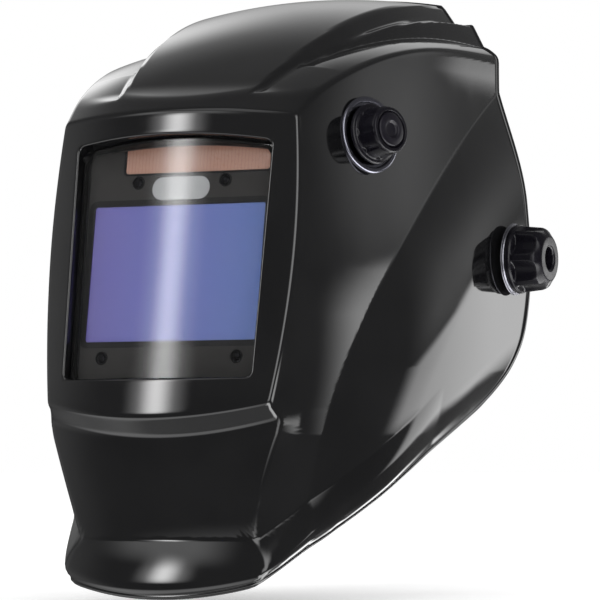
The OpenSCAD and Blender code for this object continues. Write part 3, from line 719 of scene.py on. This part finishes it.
CASE = moulded("case_satin", (0.036, 0.035, 0.034), 0.55, 2600, 0.2, wear=0.2, specular=0.12)
# near-black for the borders: the solar strip's own black edge, and round the filter glass painted shade for a
# recessed step
BORDER_BLACK_AND_SHADE = moulded("border_black_and_painted_shade", (0.004, 0.004, 0.005), 0.4, 2600, 0.15, specular=0.15)
DOME = moulded("dome_black", (0.002, 0.002, 0.003), 0.3, 2600, 0.1, specular=0.1)
RUBBER = moulded("seal_rubber", (0.003, 0.003, 0.003), 0.7, 1500, 0.4, specular=0.15)
COATED = coated_glass()
SOLAR = solar_material()
BADGE = moulded("badge_satin", (0.36, 0.37, 0.38), 0.45, 1800, 0.1, wear=0.15)


def make_cover_lens():
    """The curved outer sheet, set into the window."""
    columns, rows = 144, 16
    a = np.arange(columns) * 2 * math.pi / columns
    outline = window_point(a, -0.5)
    middle = np.array([0.0, -5.0])
    front, behind = [], []
    for k in range(1, rows + 1):
        ring = middle + (outline - middle) * k / rows
        front.append(on_face(ring, LENS_FRONT, 1.0))
        behind.append(on_face(ring, LENS_BACK, 1.0))
    ring = np.stack(front + behind[::-1], 1)
    both = 2 * rows
    faces = grid_faces(columns, both, flip=True)
    verts = np.concatenate([
        ring.reshape(-1, 3), [on_face(middle, LENS_FRONT, 1.0)], [on_face(middle, LENS_BACK, 1.0)]])
    # a fan of triangles closes the middle of each side
    last = columns * both
    for i in range(columns):
        j = (i + 1) % columns
        faces.append((last, j * both, i * both))
        faces.append((last + 1, i * both + both - 1, j * both + both - 1))
    lens = mesh_object("cover_sheet", verts, faces, [CLEAR])
    lens.data.set_sharp_from_angle(angle=math.radians(40))
    belongs(lens, "shell", "clear_lens", "cover_lens")


def border(name, size, corner, thick, back, middle):
    """A thin raised black frame round an opening in the cartridge's front; round the filter glass its black
    is painted shade standing in for a shaded recessed step.
    """
    front = PLATE_Y - BORDER_PROUD
    ring = plate_rows(size, corner, middle, ((0, back), (0, front), (-thick, front), (-thick, back)))
    faces = grid_faces(len(ring), ring.shape[1], closed_rows=True)
    strip = mesh_object(name, ring.reshape(-1, 3), faces, [BORDER_BLACK_AND_SHADE], smooth=False)
    belongs(strip, "shell", "sensor")


def make_cartridge_front():
    """Filter glass, solar strip, blank badge, sensor domes and the borders of the openings; the dark border
    round the glass is painted shade.
    """
    glass_size = (VIEW_W + 0.6, VIEW_H + 0.6)
    glass = panel("coated_filter", glass_size, 1.3, PLATE_Y + 0.4, PLATE_Y + 2.2, VIEW_AT, COATED, 0.15)
    belongs(glass, "shell", "filter", "filter_glass")
    cell = panel("solar_strip", (82.6, 16), 1.6, PLATE_Y + 0.3, PLATE_Y + 1.5, SOLAR_AT, SOLAR, 0.15)
    belongs(cell, "shell", "solar", "solar_cell")
    badge = panel("blank_badge", (33, 12), 5.9, PLATE_Y - 0.25, PLATE_Y, BADGE_AT, BADGE, 0.12)
    belongs(badge, "shell", "label", "rating_label")
    profile = rounded([(0.01, 0.9), (1.4, 0.7), (2.1, 0.0), (2.2, -0.5), (2.7, -0.5), (2.9, 0.1),
                       (3.4, 0.1), (3.6, -0.3), (3.6, -0.9)], 0.25)
    domes = [turned("dome", profile, face_frame(x, w, PLATE_Y), [DOME], segments=40) for x, w in SENSORS]
    belongs(joined("sensor_domes", domes), "shell", "sensor", "sensor_lenses")
    # painted shade: a black strip round the glass where a recessed step would lie in shadow
    border("view_border", glass_size, 1.2, 3.2, PLATE_Y + 0.3, VIEW_AT)
    border("solar_border", (82.8, 16.2), 1.6, 1.1, PLATE_Y + 0.2, SOLAR_AT)


make_cover_lens()
make_cartridge_front()


# ---------- knobs ----------

# the shade knob's foot, and the way it points: yaw from straight ahead, tilt from level
KNOB_AT = (81.5, -131.0, 59.0)
KNOB_YAW = math.radians(70)
KNOB_TILT = math.radians(7)
KNOB_AXIS = (math.sin(KNOB_YAW) * math.cos(KNOB_TILT), -math.cos(KNOB_YAW) * math.cos(KNOB_TILT),
             math.sin(KNOB_TILT))
KNOB = moulded("knob_plastic", (0.0035, 0.003, 0.0055), 0.26, 2500, 0.2, wear=0.3, specular=0.2)
KNOB_SOFT = moulded("knob_cap_plastic", (0.006, 0.005, 0.009), 0.36, 2500, 0.25, wear=0.3, specular=0.25)
WASHER = brushed("washer_steel", (0.24, 0.24, 0.27), 0.3)
DARK_WASHER = brushed("dark_washer", (0.16, 0.16, 0.19), 0.22)
STEEL = brushed("bolt_steel", (0.55, 0.55, 0.57), 0.3)


def fluted(count, centre, cut, start, end, soft):
    """Flutes cut by circles of radius cut, centre mm from the axis, from height start to end."""
    def shape(radius, height, angle):
        """The radius at a height and angle once the flutes are cut."""
        pitch = 2 * math.pi / count
        off = (angle + pitch / 2) % pitch - pitch / 2
        across = np.abs(centre * np.sin(off))
        reach = centre * np.cos(off) - np.sqrt(np.maximum(cut * cut - across * across, 0))
        reach = np.where(across < cut, reach, 1e3)
        depth = ease((height - start) / soft) * ease((end - height) / soft + 1)
        cutting = soft_min(radius, reach, soft)
        return np.minimum(radius, mix(radius, cutting, depth))
    return shape


def make_shade_knob():
    """The shade knob's ring, fluted body and cap disc."""
    place = local_frame(KNOB_AT, KNOB_AXIS)
    ring = rounded([(16.9, 2.0), (17.1, 2.6), (17.6, 3.2), (19.2, 3.2), (20.0, 2.5), (20.0, 0.7), (5.1, 0.6),
                    (5.1, 2.0), (16.9, 2.0)], 0.5)
    belongs(turned("shade_ring_face", ring, place, [DARK_WASHER], segments=128), "shell", "dark_metal",
            "shade_ring")
    body = rounded([(8.0, 3.7), (15.2, 3.7), (15.7, 4.3), (15.7, 5.2), (15.0, 5.9), (13.7, 6.2), (13.1, 7.0),
                    (12.4, 15.6), (12.2, 16.9), (11.3, 18.0), (9.9, 18.1), (9.6, 17.6), (9.2, 16.9),
                    (7.3, 16.9)], 0.45)
    knob = turned("shade_knob_body", body, place, [KNOB], fluted(8, 14.3, 2.2, 6.4, 18.4, 0.5), 192)
    belongs(knob, "shade_knob", "knob", "shade_knob")
    cap = rounded([(0.01, 17.3), (3.5, 17.3), (4.1, 17.9), (4.6, 18.6), (6.2, 18.6), (8.2, 18.2), (8.7, 17.6),
                   (8.7, 16.95)], 0.4)
    belongs(turned("shade_knob_disc", cap, place, [KNOB_SOFT], segments=96), "shade_knob", "knob",
            "shade_knob_cap")


def make_pivot(side):
    """The hand knob and its washer on one side, +1 or -1."""
    word = "left" if side > 0 else "right"
    place = local_frame((0, 0, 0), (side, 0, 0))
    outline = rounded([(4.2, 109.5), (17.9, 109.5), (18.5, 110.1), (18.5, 111.6), (17.9, 112.3), (17.9, 114),
                       (16.9, 123.4), (16.0, 125.4), (11.8, 128.4), (7.0, 128.5), (6.0, 127.7),
                       (5.4, 123.0), (4.2, 123.0)], 0.7)
    knob = turned("pivot_knob_" + word + "_grip", outline, place, [KNOB],
                  fluted(7, 24.2, 9.6, 112.4, 140, 1.2), 280)
    belongs(knob, "pivot_knob_" + word, "knob", "pivot_knob_" + word)
    washer = rounded([(4.1, 107.25), (18.9, 107.25), (19.5, 107.7), (19.5, 108.0), (19.0, 108.3),
                      (18.4, 108.35), (18.2, 108.9), (17.6, 109.15), (4.1, 109.15)], 0.25)
    return turned("washer", washer, place, [WASHER], segments=128)


make_shade_knob()
washers = [make_pivot(1), make_pivot(-1)]
belongs(joined("outer_washer_pair", washers), "carriage", "dark_metal", "outer_washers")


# ---------- padded pieces of the headgear ----------

# the headband: half width, half length, height of its middle, fall towards the rear
BAND_RX = 80
BAND_RY = 101
BAND_Z = 28
BAND_FALL = math.radians(16.7)
# points across a pad: its flat back, and its front from edge to edge with a sewn channel near each
PAD_BACK = np.linspace(1, -1, 10)
PAD_FRONT = np.linspace(-1, 1, 17)
PAD_CHANNEL = 0.875
# the cloth simulation that swells the pads: its frames, and the furthest a point may move in metres
SWELL_FRAMES = 20
SWELL_MOST = 0.0022


def on_band(angle, out, height):
    """A point by the headband: angle from straight ahead, distance out from it, height on it."""
    x = (BAND_RX + out) * np.sin(angle)
    y = -(BAND_RY + out) * np.cos(angle)
    cos_fall, sin_fall = math.cos(BAND_FALL), math.sin(BAND_FALL)
    return np.stack([x, y * cos_fall + height * sin_fall, BAND_Z + height * cos_fall - y * sin_fall], -1)


def pad_section(outer, inner, low, high, end):
    """Outline across a pad, (out, height); end is 1 along the pad and falls to 0 at its ends."""
    middle = (low + high) / 2
    half = (high - low) / 2 * (0.72 + 0.28 * end)
    thick = (inner - outer) * (0.25 + 0.75 * end)
    back = [(outer, middle + half * t) for t in PAD_BACK]
    front = []
    for t in PAD_FRONT:
        crown = math.sqrt(max(1 - (t / PAD_CHANNEL) ** 2, 0))
        front.append((outer + thick * (0.3 + 0.55 * crown), middle + half * t * 0.995))
    return back + front


def swollen(pad, free):
    """Lets the free points of a pad swell under pressure, as cloth."""
    rest = np.array([v.co[:] for v in pad.data.vertices])
    held = pad.vertex_groups.new(name="held")
    for index, loose in enumerate(free):
        if not loose:
            held.add([index], 1.0, "REPLACE")
    cloth = pad.modifiers.new("cloth", "CLOTH")
    cloth.settings.quality = 6
    cloth.settings.use_pressure = True
    cloth.settings.uniform_pressure_force = 4
    cloth.settings.vertex_group_mass = "held"
    cloth.settings.effector_weights.gravity = 0
    cloth.point_cache.frame_start = 1
    cloth.point_cache.frame_end = SWELL_FRAMES
    scene = bpy.context.scene
    for number in range(1, SWELL_FRAMES + 1):
        scene.frame_set(number)
    grown = pad.evaluated_get(bpy.context.evaluated_depsgraph_get())
    after = np.empty(len(rest) * 3)
    grown.data.vertices.foreach_get("co", after)
    shift = after.reshape(-1, 3) - rest
    size = np.linalg.norm(shift, axis=1, keepdims=True)
    shift *= np.minimum(1, SWELL_MOST / np.maximum(size, 1e-9))
    pad.modifiers.remove(cloth)
    pad.vertex_groups.clear()
    pad.data.vertices.foreach_set("co", (rest + shift).ravel())
    scene.frame_set(1)


def make_pad(name, span, outer, inner, low, high, material, slot, node):
    """A sewn pad that follows the band between two angles in degrees."""
    start, stop = [math.radians(v) for v in span]
    length = (stop - start) * (BAND_RX + BAND_RY) / 2
    # one outline about every 4 mm; the last 14 mm at each end thin down in a round
    stations = int(length / 4)
    rings = []
    for i in range(stations + 1):
        from_end = min(i, stations - i) / stations * length
        end = math.sqrt(1 - (1 - min(from_end / 14, 1)) ** 2)
        section = np.array(pad_section(outer, inner, low, high, end))
        angle = mix(start, stop, i / stations)
        rings.append(on_band(np.full(len(section), angle), section[:, 0], section[:, 1]))
    m = len(rings[0])
    faces = grid_faces(stations + 1, m, closed_columns=False, closed_rows=True)
    faces.append(list(range(m))[::-1])
    faces.append([stations * m + k for k in range(m)])
    pad = mesh_object(name, np.concatenate(rings), faces, [material])
    # the back and the sewn channels are held; the crown between them swells
    loose = [False] * len(PAD_BACK) + [abs(t) < PAD_CHANNEL for t in PAD_FRONT]
    swollen(pad, loose * (stations + 1))
    finer = pad.modifiers.new("finer", "SUBSURF")
    finer.levels = finer.render_levels = 1
    belongs(pad, "headgear", slot, node)


LEATHER = moulded("sweatband_leather", (0.022, 0.018, 0.016), 0.55, 700, 0.8, wear=0.6)
FABRIC = moulded("pad_fabric", (0.02, 0.02, 0.022), 0.85, 1500, 1.0, wear=0.6)
make_pad("sweatband_sewn", (-74, 74), -0.1, -7, -17, 17, LEATHER, "sweat_leather", "sweatband")
make_pad("rear_pad_sewn", (151, 209), -2.7, -8.5, -23, 15, FABRIC, "pad_fabric", "rear_pad")


# ---------- CAD nodes whose shape is kept ----------

def dress(material, *nodes, bevel=0.3):
    """Gives kept CAD nodes a material, and edges eased over bevel mm."""
    for name in nodes:
        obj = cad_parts[name]
        for slot in obj.material_slots:
            slot.material = material
        if not obj.material_slots:
            obj.data.materials.append(material)
        weld = obj.modifiers.new("weld", "WELD")
        weld.merge_threshold = 2e-6
        flat = obj.modifiers.new("flat", "DECIMATE")
        flat.decimate_type = "DISSOLVE"
        flat.angle_limit = math.radians(0.6)
        if bevel:
            ease_edges = obj.modifiers.new("edges", "BEVEL")
            ease_edges.width = bevel * MM
            ease_edges.segments = 2
            ease_edges.limit_method = "ANGLE"
            ease_edges.angle_limit = math.radians(40)
            ease_edges.harden_normals = True


HEADGEAR = moulded("headgear_plastic", (0.014, 0.014, 0.016), 0.5, 1600, 0.45, wear=0.4)
NYLON = moulded("white_nylon", (0.55, 0.55, 0.5), 0.45, 1500, 0.2, wear=0.1)
BOARD = moulded("board_green", (0.02, 0.1, 0.045), 0.4, 900, 0.3)
RED = moulded("button_red", (0.4, 0.025, 0.02), 0.35, 1500, 0.2)
LEAD = moulded("lead_jacket", (0.01, 0.01, 0.01), 0.5, 1500, 0.3)
dress(CASE, "filter_case", bevel=0)
dress(CASE, "filter_back", "lcd_stack", bevel=0.4)
dress(RUBBER, "lens_seal", bevel=0)
dress(BOARD, "circuit_board", bevel=0)
dress(STEEL, "coin_cells", "holder_screws", "retainer_bail", "shade_nut", "shade_shaft", "stop_pegs",
      "pivot_bolts", "band_rivets", "strap_studs", bevel=0.3)
dress(CLEAR, "inner_cover_lens", bevel=0)
dress(HEADGEAR, "filter_holder", "slider_blocks", "side_plates", "headband", "crown_strap_left",
      "crown_strap_right", "rear_cradle", "ratchet_housing", "ratchet_cover", bevel=0.5)
dress(KNOB, "sensitivity_knob", "delay_knob", "battery_cap_left", "battery_cap_right", "ratchet_knob",
      "lead_plug", bevel=0.3)
dress(RED, "test_button", bevel=0.3)
dress(DARK_WASHER, "shade_pot", "limit_plates", bevel=0.2)
dress(NYLON, "lead_clips", "pivot_bushings", "inner_washers", "ratchet_pinion", bevel=0.2)
dress(LEAD, "shade_lead", bevel=0)


# ---------- camera, lights and floor ----------

def make_camera():
    """A long lens ahead of the wearer and towards their left, a little below the target's level."""
    yaw = math.radians(26)
    rise = math.radians(-2)
    roll = math.radians(-0.3)
    distance = 2100 * MM
    target = Vector((0, -43, -21)) * MM
    back = Vector((math.sin(yaw) * math.cos(rise), -math.cos(yaw) * math.cos(rise), math.sin(rise)))
    data = bpy.data.cameras.new("camera")
    data.sensor_width = 36
    data.lens = 233.1
    data.clip_end = 50
    camera = bpy.data.objects.new("camera", data)
    bpy.context.collection.objects.link(camera)
    turn = back.to_track_quat("Z", "Y").to_matrix().to_4x4() @ Matrix.Rotation(roll, 4, "Z")
    camera.matrix_world = Matrix.Translation(target + back * distance) @ turn
    bpy.context.scene.camera = camera


def make_world():
    """Pale surroundings; what gloss mirrors is a dim studio with soft boxes in it."""
    world = bpy.data.worlds.new("studio")
    bpy.context.scene.world = world
    world.use_nodes = True
    nodes, links = world.node_tree.nodes, world.node_tree.links
    nodes.clear()

    def calc(kind, *values):
        """A math node of the world."""
        return math_node(world.node_tree, kind, *values)

    def fall(value, middle, half, soft):
        """1 within half of the middle, falling to 0 over a soft edge."""
        apart = calc("ABSOLUTE", calc("SUBTRACT", value, middle))
        node = nodes.new("ShaderNodeMapRange")
        node.interpolation_type = "SMOOTHSTEP"
        node.inputs["From Min"].default_value = half - soft
        node.inputs["From Max"].default_value = half + soft
        node.inputs["To Min"].default_value = 1
        node.inputs["To Max"].default_value = 0
        links.new(apart, node.inputs["Value"])
        return node.outputs["Result"]

    place = nodes.new("ShaderNodeTexCoord")
    split = nodes.new("ShaderNodeSeparateXYZ")
    links.new(place.outputs["Generated"], split.inputs[0])
    x, y, z = split.outputs
    azimuth = calc("DEGREES", calc("ARCTAN2", x, calc("MULTIPLY", y, -1)))
    elevation = calc("DEGREES", calc("ARCSINE", z))
    total = STUDIO_DIM
    for az, el, half_w, half_h, slant, soft_w, soft_h, strength in SOFT_BOXES:
        across = fall(azimuth, az, half_w, soft_w)
        middle = calc("MULTIPLY_ADD", calc("SUBTRACT", azimuth, az), slant, el)
        up = fall(elevation, middle, half_h, soft_h)
        light = calc("MULTIPLY", calc("MULTIPLY", across, up), strength)
        total = calc("ADD", light, total)
    path = nodes.new("ShaderNodeLightPath")
    is_gloss = path.outputs["Is Glossy Ray"]
    mirrored = calc("MULTIPLY", total, is_gloss)
    # the surroundings light the scene less than they show behind it
    around = calc("MULTIPLY_ADD", path.outputs["Is Camera Ray"], 1 - STUDIO_LIGHT, STUDIO_LIGHT)
    plain = calc("MULTIPLY", calc("SUBTRACT", 1, is_gloss), around)
    shade = nodes.new("ShaderNodeBackground")
    shade.inputs["Color"].default_value = (1, 1, 1, 1)
    links.new(calc("ADD", mirrored, plain), shade.inputs["Strength"])
    out = nodes.new("ShaderNodeOutputWorld")
    links.new(shade.outputs[0], out.inputs["Surface"])


# strength of the surroundings: between the boxes in what gloss mirrors, and as light
STUDIO_DIM = 0.2
STUDIO_LIGHT = 0.7
# each row, in degrees: azimuth from straight ahead and elevation of the middle, half width, half
# height, slant, softness of the upright and of the level edges; then strength
SOFT_BOXES = [
    (-27, 20, 3.5, 7, 0, 3.5, 5, 10.0),     # strip ahead on the wearer's right
    (-27, 20, 6.5, 7, 0, 6, 6, 5.0),    # its soft sides
    (-32, 37, 20, 8, 0, 10, 5, 1.8),    # its glow above
    (-27, 62, 26, 12, 0, 10, 3, 1.0),   # panel higher up
    (-75, 0, 16, 30, 0, 14, 20, 0.5),   # dim wall on the right
    (50, 18, 18, 30, 0, 10, 12, 4.0),   # wide box on the left, seen only in the edges
    (145, -3.5, 18, 7.5, 0.1, 6, 1.5, 3.0),     # broad box behind on the left
    (140, 12, 12, 7, 0, 8, 6, 0.5),     # its glow above
    (174, -21, 6, 6, 0, 5, 3, 6.0),     # low strip straight behind
    (95, -45, 60, 12, 0, 12, 6, 8.0),   # bright floor on the left
    (-27, -42, 50, 12, 0, 20, 6, 1.7),  # and ahead
    (0, -62, 190, 30, 0, 1, 8, 0.45),   # pale floor
    (-150, 26, 30, 10, 0, 20, 12, 0.8),     # pale wall behind on the right
    (-138, 25, 8, 8, 0, 6, 6, 1.5),     # window in it
]


def make_lights():
    """Three soft lights for the matt surfaces; gloss mirrors the world's boxes instead."""
    for name, at, size, power in (
            ("key", (-1.6, -2.2, 1.9), 1.2, 12), ("fill", (2.0, -1.4, 1.2), 1.6, 8),
            ("top", (0.2, 0.6, 2.4), 1.4, 10)):
        data = bpy.data.lights.new(name, "AREA")
        data.size = size
        data.energy = power
        light = bpy.data.objects.new(name, data)
        light.location = at
        light.rotation_euler = (-Vector(at)).to_track_quat("-Z", "Y").to_euler()
        light.visible_glossy = False
        bpy.context.collection.objects.link(light)


def make_floor():
    """A pale floor 3 mm below the lowest point."""
    material = new_material("floor", (0.96, 0.96, 0.96), 0.9, specular=0.0)
    tint(material, spread(material, noise(material, 3), 0, 1), (0.95, 0.95, 0.95), (0.97, 0.97, 0.97))
    # a little light of its own makes it read as white as the sweep behind
    glow = material.node_tree.nodes["Principled BSDF"].inputs
    glow["Emission Color"].default_value = (1, 1, 1, 1)
    glow["Emission Strength"].default_value = 0.36
    low = cad_box[0][2] / MM - 3
    side = 6000  # mm from the middle to each edge
    verts = [(-side, -side, low), (side, -side, low), (side, side, low), (-side, side, low)]
    floor = mesh_object("floor", verts, [(0, 3, 2, 1)], [material])
    floor.visible_glossy = False


make_camera()
make_world()
make_lights()
make_floor()
bpy.context.scene.view_settings.view_transform = "Standard"
